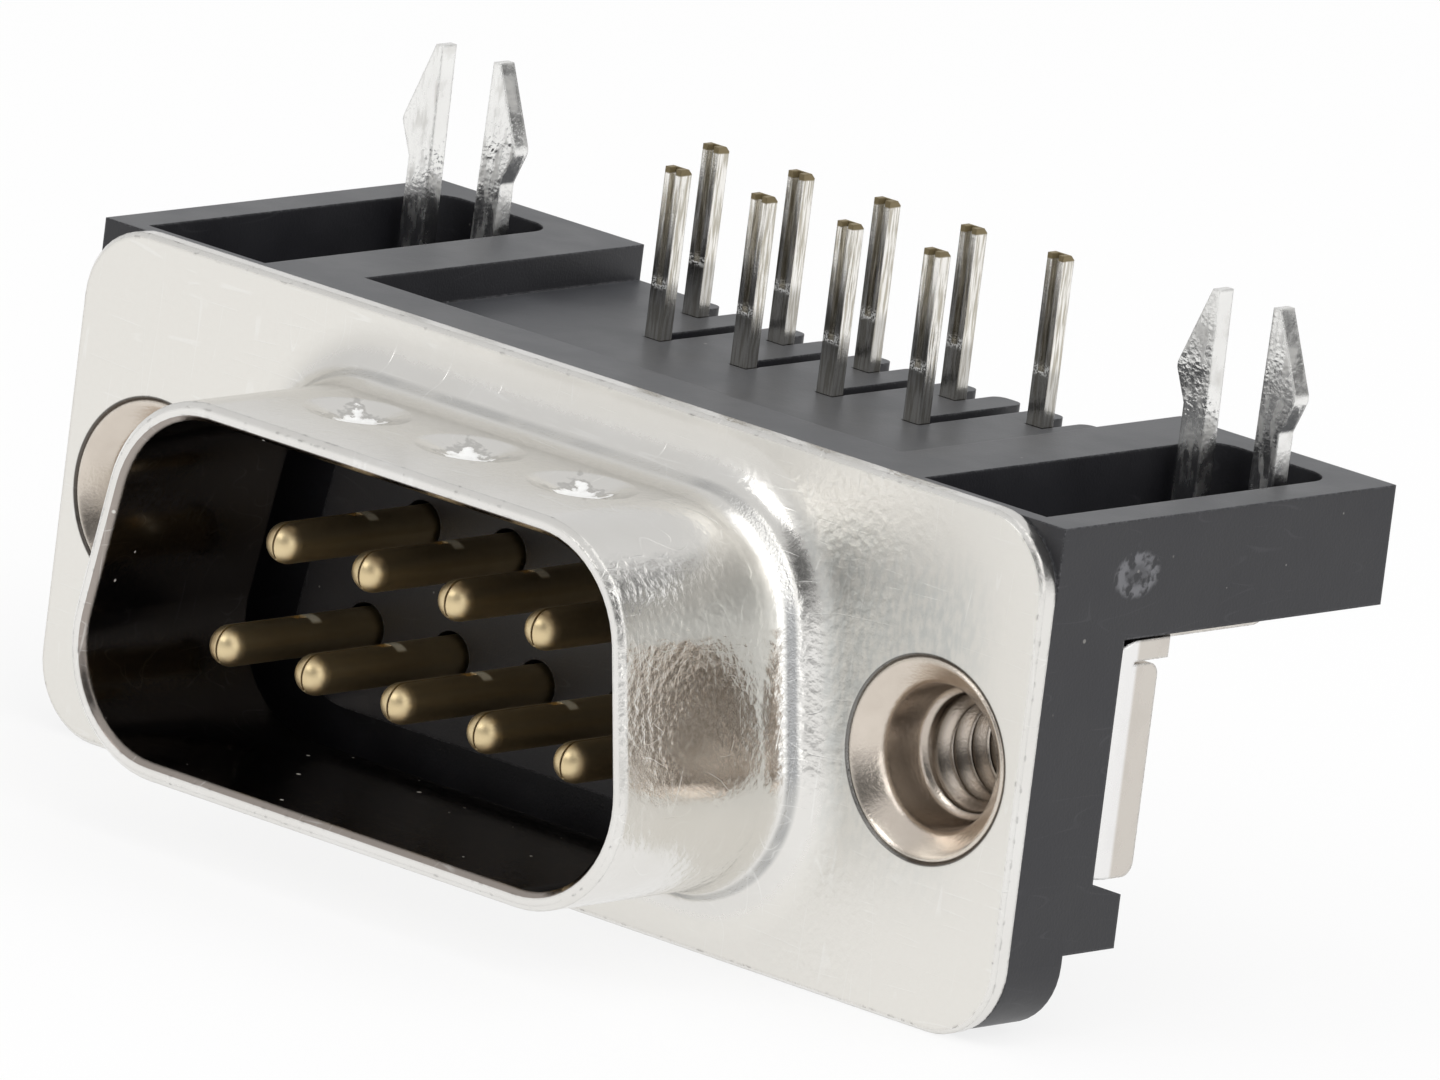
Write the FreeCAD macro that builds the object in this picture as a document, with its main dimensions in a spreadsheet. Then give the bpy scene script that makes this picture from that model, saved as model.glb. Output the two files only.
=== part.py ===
import FreeCAD, Part
import math
import os
from types import SimpleNamespace

import Sketcher

# Right-angle nine-pin D-sub plug, in the pose that shows its solder side: tails and board
# locks point up (+Z), the mating face looks to -Y, and +X runs along the flange.
# The origin is the middle of the flange's front face. Millimetres and degrees.

DIMENSIONS = {
    # Contact field
    "pin_pitch": 2.77,
    "row_gap": 2.84,
    "pin_diameter": 1.0,
    "pin_setback": 1.47,
    "pin_hole_clearance": 0.1,
    "barrel_setback": 0.3,
    # Seam, slit and notch of the rolled pins
    "seam_width": 0.06,
    "seam_depth": 0.14,
    "slit_depth": 0.34,
    "slit_drop": 0.36,
    "notch_place": 2.0,
    "notch_length": 0.35,
    "notch_width": 0.22,
    # Legs and solder tails
    "leg_bend": 0.9,
    "near_tail_place": 7.97,
    "tail_reach": 3.31,
    "channel_length": 2.85,
    "channel_width": 0.5,
    "channel_depth": 0.4,
    "channel_groove": 0.2,
    "channel_floor": 0.18,
    "tail_tip_chamfer": 0.12,
    # Front shell
    "shell_sheet": 0.45,
    "shroud_to_screw": 4.295,
    "screw_to_edge": 2.91,
    "flange_margin": 2.095,
    "flange_corner": 1.9,
    "flange_edge_bevel": 0.1,
    "shroud_depth": 6.2,
    "shroud_height": 8.36,
    "shroud_end_room": 2.66,
    "shroud_angle": 10.0,
    "shroud_corner": 2.54,
    "shroud_base_radius": 1.35,
    "mouth_bevel": 1.05,
    "rim_bevel": 0.13,
    # Grip dimples on the shroud's narrow side
    "dimple_diameter": 2.6,
    "dimple_floor": 0.7,
    "dimple_depth": 0.3,
    "dimple_spacing": 3.6,
    "dimple_place": 2.95,
    # Threaded inserts
    "insert_head_radius": 2.43,
    "insert_head_depth": 0.45,
    "insert_lip": 0.09,
    "insert_funnel_depth": 0.5,
    "insert_counterbore": 1.71,
    "insert_counterbore_depth": 1.5,
    "insert_barrel_radius": 2.05,
    "insert_clearance": 0.04,
    "thread_major_radius": 1.42,
    "thread_minor_radius": 1.15,
    "insert_nut_radius": 2.3,
    "insert_nut_length": 1.65,
    "insert_nut_chamfer": 0.25,
    # Moulded housing
    "housing_inset": 0.005,
    "board_inset": 0.085,
    "housing_corner": 1.75,
    "plate_thickness": 1.9,
    "step_thickness": 0.75,
    "step_drop": 4.2,
    "insulator_gap": 0.7,
    "insulator_proud": 0.05,
    "groove_depth": 0.75,
    "core_depth": 1.5,
    "core_end_room": 2.06,
    "core_height": 5.8,
    "core_corner": 0.5,
    "tab_room": 0.5,
    "wing_front": 0.5,
    "wing_inner_wall": 1.95,
    "wing_rear_wall": 1.0,
    "pocket_front": 0.95,
    "pocket_floor": 1.0,
    "pocket_corner": 0.8,
    "pocket_clearance": 0.05,
    "prong_opening_margin": 0.45,
    "platform_drop": 0.87,
    "platform_thickness": 1.82,
    "finger_length": 1.34,
    "finger_corner": 0.3,
    "wing_overhang": 0.05,
    "near_slot_width": 0.51,
    "tail_clearance": 0.03,
    "nub_height": 1.64,
    "nub_slope": 0.34,
    "nub_depth": 1.05,
    "nub_width": 6.1,
    # Board locks
    "lock_sheet": 0.5,
    "lock_inset": 0.055,
    "lock_drop": 2.5,
    "lock_bend_radius": 0.6,
    "lock_edge_radius": 0.45,
    "lock_gap": 0.08,
    "lock_relief": 0.07,
    "side_flange_depth": 1.4,
    "side_flange_corner": 0.35,
    "tab_reach": 2.2,
    "tab_chamfer": 0.5,
    "prong_place": 1.44,
    "prong_width": 3.0,
    "prong_gap": 1.5,
    "prong_gap_tip": 1.7,
    "prong_reach": 4.01,
    "barb_width": 3.72,
    "barb_height": 2.0,
    "barb_slope": 0.85,
    "barb_corner": 0.32,
    "prong_tip_width": 2.1,
    "prong_root": 0.7,
}


class Size:
    """A dimension that carries its value together with the formula that drives it."""

    def __init__(self, value, formula):
        self.value = value
        self.formula = formula

    def __add__(self, other):
        other = as_size(other)
        return Size(self.value + other.value, f"({self.formula} + {other.formula})")

    def __sub__(self, other):
        other = as_size(other)
        return Size(self.value - other.value, f"({self.formula} - {other.formula})")

    def __mul__(self, other):
        other = as_size(other)
        return Size(self.value * other.value, f"({self.formula} * {other.formula})")

    def __truediv__(self, other):
        other = as_size(other)
        return Size(self.value / other.value, f"({self.formula} / {other.formula})")

    def __rmul__(self, other):
        return as_size(other) * self

    def __neg__(self):
        return self * -1


def as_size(term):
    """A plain number becomes a size with itself as formula."""
    if isinstance(term, Size):
        return term
    return Size(float(term), f"({float(term)!r})")


def tangent(angle):
    """Tangent of an angle in degrees."""
    return Size(math.tan(math.radians(angle.value)), f"tan({angle.formula})")


def cosine(angle):
    """Cosine of an angle in degrees."""
    return Size(math.cos(math.radians(angle.value)), f"cos({angle.formula})")


def bind(item, path, size):
    """Drives one property of an object by a size."""
    item.setExpression(path, as_size(size).formula)


def enter_dimensions(doc):
    """The table of driving dimensions, and a namespace that reads it back."""
    sheet = doc.addObject("Spreadsheet::Sheet", "Sizes")
    for row, (name, value) in enumerate(DIMENSIONS.items(), start=1):
        sheet.set(f"A{row}", name)
        sheet.set(f"B{row}", str(value))
        sheet.setAlias(f"B{row}", name)
    doc.recompute()
    entries = {name: Size(float(sheet.get(name)), f"Sizes.{name}") for name in DIMENSIONS}
    return SimpleNamespace(**entries)


# Direction of each sketch plane's normal along its own axis of the model.
NORMAL = {"XY_Plane": 1, "XZ_Plane": -1, "YZ_Plane": 1}


def new_body(doc, label, x=0):
    """A body for one real piece, moved along the flange to its own place."""
    body = doc.addObject("PartDesign::Body", label)
    body.Label = label
    bind(body, "Placement.Base.x", x)
    return body


def origin_plane(body, role):
    """One of the body's own origin planes."""
    return next(item for item in body.Origin.OriginFeatures if item.Role == role)


def new_sketch(body, name, role, level):
    """A sketch parallel to an origin plane, at a level along that plane's axis."""
    sketch = body.newObject("Sketcher::SketchObject", name)
    sketch.AttachmentSupport = [(origin_plane(body, role), "")]
    sketch.MapMode = "FlatFace"
    bind(sketch, "AttachmentOffset.Base.z", as_size(level) * NORMAL[role])
    return sketch


def pin_point(sketch, geometry, position, u, v):
    """Fixes a point of a sketch at its two coordinates."""
    for kind, size in (("DistanceX", u), ("DistanceY", v)):
        size = as_size(size)
        rule = Sketcher.Constraint(kind, -1, 1, geometry, position, size.value)
        bind(sketch, f"Constraints[{sketch.addConstraint(rule)}]", size)


def corner_arc(before, corner, after, radius):
    """Arc that rounds a corner, with the two points where it meets the sides."""
    back = (before - corner).normalize()
    ahead = (after - corner).normalize()
    half_turn = back.getAngle(ahead) / 2
    reach = radius / math.tan(half_turn)
    centre = corner + (back + ahead).normalize() * (radius / math.sin(half_turn))
    start = corner + back * reach
    end = corner + ahead * reach
    left_turn = (corner - before).cross(after - corner).z > 0
    first, last = (start, end) if left_turn else (end, start)
    angles = [math.atan2(point.y - centre.y, point.x - centre.x) for point in (first, last)]
    circle = Part.Circle(centre, FreeCAD.Vector(0, 0, 1), radius)
    return Part.ArcOfCircle(circle, *angles), start, end, left_turn


def draw_outline(sketch, corners):
    """Closed outline through corners (u, v) or (u, v, radius), all of them driven."""
    corners = [[as_size(term) for term in corner] for corner in corners]
    points = [FreeCAD.Vector(corner[0].value, corner[1].value, 0) for corner in corners]
    count = len(corners)
    starts, ends, arcs = [], [], {}
    for index, corner in enumerate(corners):
        if len(corner) == 2:
            ends.append(points[index])
            starts.append(points[index])
            continue
        neighbours = points[index - 1], points[(index + 1) % count]
        arc, end, start, left_turn = corner_arc(
            neighbours[0], points[index], neighbours[1], corner[2].value)
        ends.append(end)
        starts.append(start)
        arcs[index] = (arc, left_turn)
    # Side number n runs from corner n to the next corner.
    sides = [sketch.addGeometry(Part.LineSegment(starts[index], ends[(index + 1) % count]), False)
             for index in range(count)]
    for index, corner in enumerate(corners):
        before, after = sides[index - 1], sides[index]
        if index not in arcs:
            sketch.addConstraint(Sketcher.Constraint("Coincident", before, 2, after, 1))
            pin_point(sketch, after, 1, corner[0], corner[1])
            continue
        arc, left_turn = arcs[index]
        rounding = sketch.addGeometry(arc, False)
        vertex = sketch.addGeometry(Part.Point(points[index]), True)
        entry, leaving = (1, 2) if left_turn else (2, 1)
        sketch.addConstraint([
            Sketcher.Constraint("Tangent", before, 2, rounding, entry),
            Sketcher.Constraint("Tangent", rounding, leaving, after, 1),
            Sketcher.Constraint("PointOnObject", vertex, 1, before),
            Sketcher.Constraint("PointOnObject", vertex, 1, after),
        ])
        rule = sketch.addConstraint(Sketcher.Constraint("Radius", rounding, corner[2].value))
        bind(sketch, f"Constraints[{rule}]", corner[2])
        pin_point(sketch, vertex, 1, corner[0], corner[1])


def draw_circle(sketch, u, v, radius):
    """Circle with driven centre and radius."""
    u, v, radius = as_size(u), as_size(v), as_size(radius)
    centre = FreeCAD.Vector(u.value, v.value, 0)
    circle = Part.Circle(centre, FreeCAD.Vector(0, 0, 1), radius.value)
    number = sketch.addGeometry(circle, False)
    rule = sketch.addConstraint(Sketcher.Constraint("Radius", number, radius.value))
    bind(sketch, f"Constraints[{rule}]", radius)
    pin_point(sketch, number, 3, u, v)


def rectangle(low_u, high_u, low_v, high_v, *radius):
    """Corners of an upright rectangle, each with the same radius if one is given."""
    places = ((low_u, low_v), (high_u, low_v), (high_u, high_v), (low_u, high_v))
    return [(u, v, *radius) for u, v in places]


def finish_feature(body, feature, adds, volume_before):
    """Recomputes a feature and makes sure that it added or removed material."""
    body.Document.recompute()
    change = body.Shape.Volume - volume_before
    if (change > 0) != adds or abs(change) < 1e-6:
        raise RuntimeError(f"{body.Label}: {feature.Label} changed the volume by {change:.6f}")
    return feature


def body_volume(body):
    """Volume of a body so far, zero for an empty one."""
    return 0.0 if body.Shape.isNull() else body.Shape.Volume


def extrude(body, name, adds, role, start, end, outlines=(), circles=()):
    """Pads or pockets outlines and circles from one level to another."""
    volume = body_volume(body)
    sketch = new_sketch(body, f"{name}Sketch", role, start)
    for corners in outlines:
        draw_outline(sketch, corners)
    for circle in circles:
        draw_circle(sketch, *circle)
    feature = body.newObject("PartDesign::Pad" if adds else "PartDesign::Pocket", name)
    feature.Profile = sketch
    length = as_size(end) - start
    along_normal = length.value * NORMAL[role] > 0
    feature.Reversed = along_normal != adds
    bind(feature, "Length", length if length.value > 0 else -length)
    return finish_feature(body, feature, adds, volume)


def pad(body, name, role, start, end, outlines=(), circles=()):
    """Adds material between two levels."""
    return extrude(body, name, True, role, start, end, outlines, circles)


def pocket(body, name, role, start, end, outlines=(), circles=()):
    """Removes material between two levels."""
    return extrude(body, name, False, role, start, end, outlines, circles)


def revolve(body, name, adds, x, corners):
    """Turns an outline of (y, radius) corners round the line through x along Y."""
    volume = body_volume(body)
    sketch = new_sketch(body, f"{name}Sketch", "YZ_Plane", x)
    draw_outline(sketch, corners)
    feature = body.newObject("PartDesign::Revolution" if adds else "PartDesign::Groove", name)
    feature.Profile = sketch
    feature.ReferenceAxis = (sketch, ["H_Axis"])
    feature.Angle = 360
    return finish_feature(body, feature, adds, volume)


def edges_where(shape, test):
    """Names of the edges whose box passes a test."""
    return [f"Edge{number}" for number, edge in enumerate(shape.Edges, start=1)
            if test(edge.BoundBox, edge)]


def dress_edges(body, kind, name, size_name, size, test, adds=False):
    """Rounds or chamfers the edges of a body that pass a test."""
    volume = body_volume(body)
    base = body.Tip
    feature = body.newObject(kind, name)
    feature.Base = (base, edges_where(base.Shape, test))
    bind(feature, size_name, size)
    return finish_feature(body, feature, adds, volume)


def fillet(body, name, radius, test, adds=False):
    """Rounds the edges that pass a test; an inside corner gains material."""
    return dress_edges(body, "PartDesign::Fillet", name, "Radius", radius, test, adds)


def chamfer(body, name, size, test):
    """Bevels the edges that pass a test."""
    return dress_edges(body, "PartDesign::Chamfer", name, "Size", size, test)


def near(value, size):
    """True where a coordinate lies on a level."""
    return abs(value - as_size(size).value) < 1e-4


# Levels that several pieces share, all measured from the flange's front face or the pin axis.

def plate_back(d):
    """Rear face of the housing's backing plate."""
    return d.shell_sheet + d.plate_thickness


def step_back(d):
    """Rear face of the housing's raised step, where the board locks seat."""
    return plate_back(d) + d.step_thickness


def core_back(d):
    """Rear face of the insulator core, where the legs come out."""
    return step_back(d) + d.core_depth


def outer_pin(d):
    """Distance of the outermost pins from the middle of the flange."""
    return d.pin_pitch * 2


def shroud_half_width(d):
    """Half the shroud's inner width at mid height, which clears the outermost pins."""
    return outer_pin(d) + d.shroud_end_room


def screw_place(d):
    """Distance of the two screw axes from the middle of the flange."""
    return shroud_half_width(d) + d.shroud_to_screw


def flange_half_width(d):
    """Half the width of the flange."""
    return screw_place(d) + d.screw_to_edge


def flange_half_height(d):
    """Half the height of the flange, which leaves a margin round the drawn base."""
    return d.shroud_height / 2 + d.flange_margin


def housing_half_width(d):
    """Half the width of the housing, a hair inside the flange."""
    return flange_half_width(d) - d.housing_inset


def board_level(d):
    """Height of the faces that seat on the circuit board."""
    return flange_half_height(d) - d.board_inset


def pin_tip(d):
    """Distance of the pin tips in front of the flange, safe behind the shroud's rim."""
    return d.shroud_depth - d.pin_setback


def lock_half_width(d):
    """Half the width of a board lock."""
    return housing_half_width(d) - screw_place(d) - d.lock_inset


def wing_under(d):
    """Underside of the wings, which leaves room for the lock's tab above the insert."""
    return d.insert_nut_radius + d.lock_sheet + d.tab_room


def far_tail_place(d):
    """Distance of the rear row of tails behind the flange."""
    return d.near_tail_place + d.row_gap


def platform_back(d):
    """Rear edge of the platform that spaces the tails."""
    return far_tail_place(d) + d.finger_length


def pocket_half_width(d):
    """Half the width of a wing's pocket, which lets the barbs of a board lock pass."""
    return d.barb_width / 2 + d.pocket_clearance


def wing_inside(d):
    """Inner side of the wings, and half the width of the platform."""
    return screw_place(d) - pocket_half_width(d) - d.wing_inner_wall


def prong_front(d):
    """Front face of the harpoon prongs."""
    return d.near_tail_place + d.prong_place


def contact_columns(d):
    """Place along the flange and row of each contact: 1 to 5 below, 6 to 9 above."""
    lower = [(d.pin_pitch * step, -1) for step in (2, 1, 0, -1, -2)]
    upper = [(d.pin_pitch * step, 1) for step in (1.5, 0.5, -0.5, -1.5)]
    return lower + upper


def shroud_outline(d, grow):
    """Keystone outline of the shroud's inside, wide side down, grown by a wall or a gap."""
    half_height = d.shroud_height / 2 + grow
    middle = shroud_half_width(d) + as_size(grow) / cosine(d.shroud_angle)
    flare = half_height * tangent(d.shroud_angle)
    radius = d.shroud_corner + grow
    return [
        (-(middle + flare), -half_height, radius),
        (middle + flare, -half_height, radius),
        (middle - flare, half_height, radius),
        (-(middle - flare), half_height, radius),
    ]


def insert_seat(d):
    """Outside of an insert's head and barrel with the clearance of its hole."""
    head = d.insert_head_radius + d.insert_clearance
    barrel = d.insert_barrel_radius + d.insert_clearance
    return head, barrel


def add_cone(body, name, adds, x, y, low, height, low_radius, high_radius):
    """An upright cone that adds to a body or cuts it, standing on a level."""
    volume = body_volume(body)
    kind = "PartDesign::AdditiveCone" if adds else "PartDesign::SubtractiveCone"
    cone = body.newObject(kind, name)
    cone.AttachmentSupport = [(origin_plane(body, "XY_Plane"), "")]
    cone.MapMode = "FlatFace"
    for axis, place in (("x", x), ("y", y), ("z", low)):
        bind(cone, f"AttachmentOffset.Base.{axis}", place)
    bind(cone, "Height", height)
    bind(cone, "Radius1", low_radius)
    bind(cone, "Radius2", high_radius)
    return finish_feature(body, cone, adds, volume)


def add_dimple(body, d, number, x):
    """One conical dent in the shroud's narrow side, pressed through the sheet."""
    inside = d.shroud_height / 2
    outside = inside + d.shell_sheet
    rim = d.dimple_diameter / 2
    floor = d.dimple_floor / 2
    y = -d.dimple_place
    add_cone(body, f"DimpleInside{number}", True, x, y, inside - d.dimple_depth,
             d.dimple_depth, floor + d.shell_sheet / 3, rim)
    add_cone(body, f"DimpleOutside{number}", False, x, y, outside - d.dimple_depth,
             d.dimple_depth, floor, rim)


def make_front_shell(doc, d):
    """Drawn steel shell: flange, flared shroud with a round base, dimples and rivet seats."""
    body = new_body(doc, "front_shell")
    half_width = flange_half_width(d)
    half_height = flange_half_height(d)
    flange = rectangle(-half_width, half_width, -half_height, half_height, d.flange_corner)
    pad(body, "Flange", "XZ_Plane", 0, d.shell_sheet, [flange])
    chamfer(body, "FlangeEdge", d.flange_edge_bevel,
            lambda box, edge: near(box.YMin, 0) and near(box.YMax, 0))
    pad(body, "Shroud", "XZ_Plane", d.shell_sheet / 2, -d.shroud_depth,
        [shroud_outline(d, d.shell_sheet)])
    pocket(body, "ShroudInside", "XZ_Plane", -d.shroud_depth, d.shell_sheet,
           [shroud_outline(d, 0)])
    reach = (half_width - d.flange_corner).value
    fillet(body, "DrawnBase", d.shroud_base_radius,
           lambda box, edge: near(box.YMin, 0) and near(box.YMax, 0) and box.XMax < reach
           and box.XMin > -reach and abs(box.ZMin) < (half_height - d.flange_edge_bevel * 2).value,
           adds=True)
    chamfer(body, "DrawnMouth", d.mouth_bevel,
           lambda box, edge: near(box.YMin, d.shell_sheet) and near(box.YMax, d.shell_sheet)
           and box.XMax < reach and box.XMin > -reach
           and abs(box.ZMin) < (half_height - d.flange_edge_bevel * 2).value)
    chamfer(body, "RolledRim", d.rim_bevel,
            lambda box, edge: near(box.YMin, -d.shroud_depth)
            and near(box.YMax, -d.shroud_depth))
    for number, step in enumerate((-1, 0, 1), start=1):
        add_dimple(body, d, number, d.dimple_spacing * step)
    head, barrel = insert_seat(d)
    for name, side in (("LeftRivetSeat", -1), ("RightRivetSeat", 1)):
        # The seat is cut a little past both faces of the flange.
        past = d.shell_sheet / 3
        profile = [(-past, 0), (-past, head), (0, head), (d.insert_head_depth, barrel),
                   (d.shell_sheet + past, barrel), (d.shell_sheet + past, 0)]
        revolve(body, name, False, screw_place(d) * side, profile)
    return body


def make_housing(doc, d):
    """The black moulding, from the insulator in the shroud to the pocketed wings."""
    body = new_body(doc, "insulator_housing")
    half_width = housing_half_width(d)
    plate = rectangle(-half_width, half_width, -board_level(d), board_level(d), d.housing_corner)
    pad(body, "BackingPlate", "XZ_Plane", d.shell_sheet, plate_back(d), [plate])
    step = rectangle(-half_width, half_width, -d.step_drop, wing_under(d))
    pad(body, "LockSeat", "XZ_Plane", plate_back(d), step_back(d), [step])
    core_side = outer_pin(d) + d.core_end_room
    core = rectangle(-core_side, core_side, -d.core_height / 2,
                     wing_under(d) + d.platform_thickness / 2, d.core_corner)
    pad(body, "Core", "XZ_Plane", plate_back(d), core_back(d), [core])
    add_platform(body, d)
    add_wings(body, d)
    add_nubs(body, d)
    add_insulator_face(body, d)
    cut_contact_holes(body, d)
    cut_insert_holes(body, d)
    return body


def add_platform(body, d):
    """The stepped platform between the wings, with keyhole slots for the tails."""
    top = board_level(d) - d.platform_drop
    bottom = top - d.platform_thickness
    back = platform_back(d)
    side = wing_inside(d)
    pad(body, "Platform", "XY_Plane", bottom, top, [rectangle(-side, side, plate_back(d), back)])
    fit = d.channel_width / 2 + d.tail_clearance
    deep = d.channel_depth / 2 + d.tail_clearance
    slots = []
    holes = []
    for x, row in contact_columns(d):
        if row > 0:
            tail, half_slot = d.near_tail_place, d.near_slot_width / 2
        else:
            tail, half_slot = far_tail_place(d), fit
        slots.append(rectangle(x - half_slot, x + half_slot, tail, back + d.finger_length))
        holes.append(rectangle(x - fit, x + fit, tail - deep, tail + deep))
    pocket(body, "TailSlots", "XY_Plane", top, bottom, slots)
    pocket(body, "TailHoles", "XY_Plane", top, bottom, holes)
    fillet(body, "FingerEnds", d.finger_corner,
           lambda box, edge: near(box.YMin, back) and near(box.XMin, box.XMax)
           and near(box.ZMin, bottom) and abs(box.XMin) < side.value - 0.5 and box.YLength < 1e-4)


def add_wings(body, d):
    """Two wings that seat on the board, each with a deep pocket round a board lock."""
    half_width = housing_half_width(d)
    back = platform_back(d) + d.wing_overhang
    inside = wing_inside(d)
    wings = [rectangle(inside, half_width, d.wing_front, back),
             rectangle(-half_width, -inside, d.wing_front, back)]
    pad(body, "Wings", "XY_Plane", wing_under(d), board_level(d), wings)
    floor = wing_under(d) + d.pocket_floor
    wide = pocket_half_width(d)
    pockets = []
    openings = []
    for side in (-1, 1):
        centre = screw_place(d) * side
        rear = back - d.wing_rear_wall
        pockets.append([
            (centre - wide, d.pocket_front),
            (centre + wide, d.pocket_front),
            (centre + wide, rear, d.pocket_corner),
            (centre - wide, rear, d.pocket_corner),
        ])
        openings.append(rectangle(centre - wide, centre + wide,
                                  prong_front(d) - d.prong_opening_margin,
                                  prong_front(d) + d.lock_sheet + d.prong_opening_margin))
    pocket(body, "WingPockets", "XY_Plane", board_level(d), floor, pockets)
    pocket(body, "ProngOpenings", "XY_Plane", floor, wing_under(d), openings)


def add_nubs(body, d):
    """Two sloped nubs below the board locks, one at each end of the plate."""
    half_width = housing_half_width(d)
    top = d.nub_height - d.step_drop
    profile = [
        (plate_back(d), -d.step_drop),
        (step_back(d) + d.nub_depth, -d.step_drop),
        (step_back(d) + d.nub_depth, top - d.nub_slope),
        (step_back(d), top),
        (plate_back(d), top),
    ]
    for name, start, end in (("RightNub", half_width - d.nub_width, half_width),
                             ("LeftNub", -half_width, d.nub_width - half_width)):
        pad(body, name, "YZ_Plane", start, end, [profile])


def add_insulator_face(body, d):
    """The groove that clears the shell's round mouth, and the insulator face inside it."""
    mouth = d.shroud_base_radius + d.shell_sheet
    floor = d.shell_sheet + d.groove_depth
    pocket(body, "ShellGroove", "XZ_Plane", d.shell_sheet, floor, [shroud_outline(d, mouth)])
    pad(body, "InsulatorFace", "XZ_Plane", floor, d.shell_sheet - d.insulator_proud,
        [shroud_outline(d, -d.insulator_gap)])


def cut_contact_holes(body, d):
    """Nine straight holes that the contacts are pressed into from behind."""
    radius = d.pin_diameter / 2 + d.pin_hole_clearance
    holes = [(x, d.row_gap / 2 * row, radius) for x, row in contact_columns(d)]
    pocket(body, "ContactHoles", "XZ_Plane", 0, core_back(d) + d.core_depth, circles=holes)


def cut_insert_holes(body, d):
    """Clearance holes for the two threaded inserts."""
    barrel = insert_seat(d)[1]
    holes = [(screw_place(d) * side, 0, barrel) for side in (-1, 1)]
    pocket(body, "InsertHoles", "XZ_Plane", 0, core_back(d), circles=holes)


def make_contact(doc, d, number, x, row):
    """One rolled contact: split pin, barrel, bent leg and channel-shaped solder tail."""
    body = new_body(doc, f"contact_{number}", x)
    height = d.row_gap / 2 * row
    radius = d.pin_diameter / 2
    tail = d.near_tail_place if row > 0 else far_tail_place(d)
    dome = radius - pin_tip(d)
    barrel_end = core_back(d) - d.barrel_setback
    pad(body, "Barrel", "XZ_Plane", dome, barrel_end, circles=[(0, height, radius)])
    add_dome(body, dome, height, radius)
    cut_seam(body, d, height, radius)
    add_leg(body, d, height, tail, barrel_end)
    add_tail(body, d, tail)
    return body


def add_dome(body, place, height, radius):
    """The round end of a pin."""
    volume = body_volume(body)
    dome = body.newObject("PartDesign::AdditiveSphere", "Dome")
    dome.AttachmentSupport = [(origin_plane(body, "XY_Plane"), "")]
    dome.MapMode = "FlatFace"
    bind(dome, "AttachmentOffset.Base.y", place)
    bind(dome, "AttachmentOffset.Base.z", height)
    bind(dome, "Radius", radius)
    finish_feature(body, dome, True, volume)


def cut_seam(body, d, height, radius):
    """The seam along the top of a rolled pin, its slit through the dome and its notch."""
    half_seam = d.seam_width / 2
    tip = -pin_tip(d)
    above = height + radius + d.seam_depth
    floor = height + radius - d.seam_depth
    seam = rectangle(-half_seam, half_seam, floor, above)
    pocket(body, "Seam", "XZ_Plane", -d.notch_place, tip, [seam])
    slit = rectangle(-half_seam, half_seam, height - d.slit_drop, above)
    pocket(body, "TipSlit", "XZ_Plane", tip + d.slit_depth, tip - d.seam_depth, [slit])
    notch = rectangle(-d.notch_width / 2, d.notch_width / 2, floor, above)
    pocket(body, "Notch", "XZ_Plane", -d.notch_place - d.notch_length / 2,
           -d.notch_place + d.notch_length / 2, [notch])


def add_leg(body, d, height, tail, start):
    """The flat leg: back from the barrel, round one bend and up to the channel."""
    volume = body_volume(body)
    top = board_level(d) + d.tail_reach - d.channel_length
    bend = d.leg_bend
    path = new_sketch(body, "LegPath", "YZ_Plane", 0)
    centre = FreeCAD.Vector((tail - bend).value, (height + bend).value, 0)
    elbow = Part.ArcOfCircle(Part.Circle(centre, FreeCAD.Vector(0, 0, 1), bend.value),
                             -math.pi / 2, 0)
    back_run = Part.LineSegment(FreeCAD.Vector(start.value, height.value, 0), elbow.StartPoint)
    rise = Part.LineSegment(elbow.EndPoint, FreeCAD.Vector(tail.value, top.value, 0))
    first, turn, last = [path.addGeometry(item, False) for item in (back_run, elbow, rise)]
    path.addConstraint([
        Sketcher.Constraint("Tangent", first, 2, turn, 1),
        Sketcher.Constraint("Tangent", turn, 2, last, 1),
        Sketcher.Constraint("Horizontal", first),
    ])
    rule = path.addConstraint(Sketcher.Constraint("Radius", turn, bend.value))
    bind(path, f"Constraints[{rule}]", bend)
    pin_point(path, first, 1, start, height)
    pin_point(path, last, 2, tail, top)
    section = new_sketch(body, "LegSection", "XZ_Plane", start)
    half_width = d.channel_width / 2
    half_depth = d.channel_depth / 2
    draw_outline(section, rectangle(-half_width, half_width, height - half_depth,
                                    height + half_depth))
    leg = body.newObject("PartDesign::AdditivePipe", "Leg")
    leg.Profile = section
    leg.Spine = (path, [])
    finish_feature(body, leg, True, volume)


def add_tail(body, d, tail):
    """The channel-shaped solder tail, its groove to the front and its tip bevelled."""
    top = board_level(d) + d.tail_reach
    half_width = d.channel_width / 2
    front = tail - d.channel_depth / 2
    back = tail + d.channel_depth / 2
    half_groove = d.channel_groove / 2
    groove_floor = back - d.channel_floor
    section = [
        (-half_width, front), (-half_groove, front), (-half_groove, groove_floor),
        (half_groove, groove_floor), (half_groove, front), (half_width, front),
        (half_width, back), (-half_width, back),
    ]
    pad(body, "Channel", "XY_Plane", top - d.channel_length, top, [section])
    chamfer(body, "TailTip", d.tail_tip_chamfer,
            lambda box, edge: near(box.ZMin, top) and near(box.YMin, back)
            and near(box.YMax, back))


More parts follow.
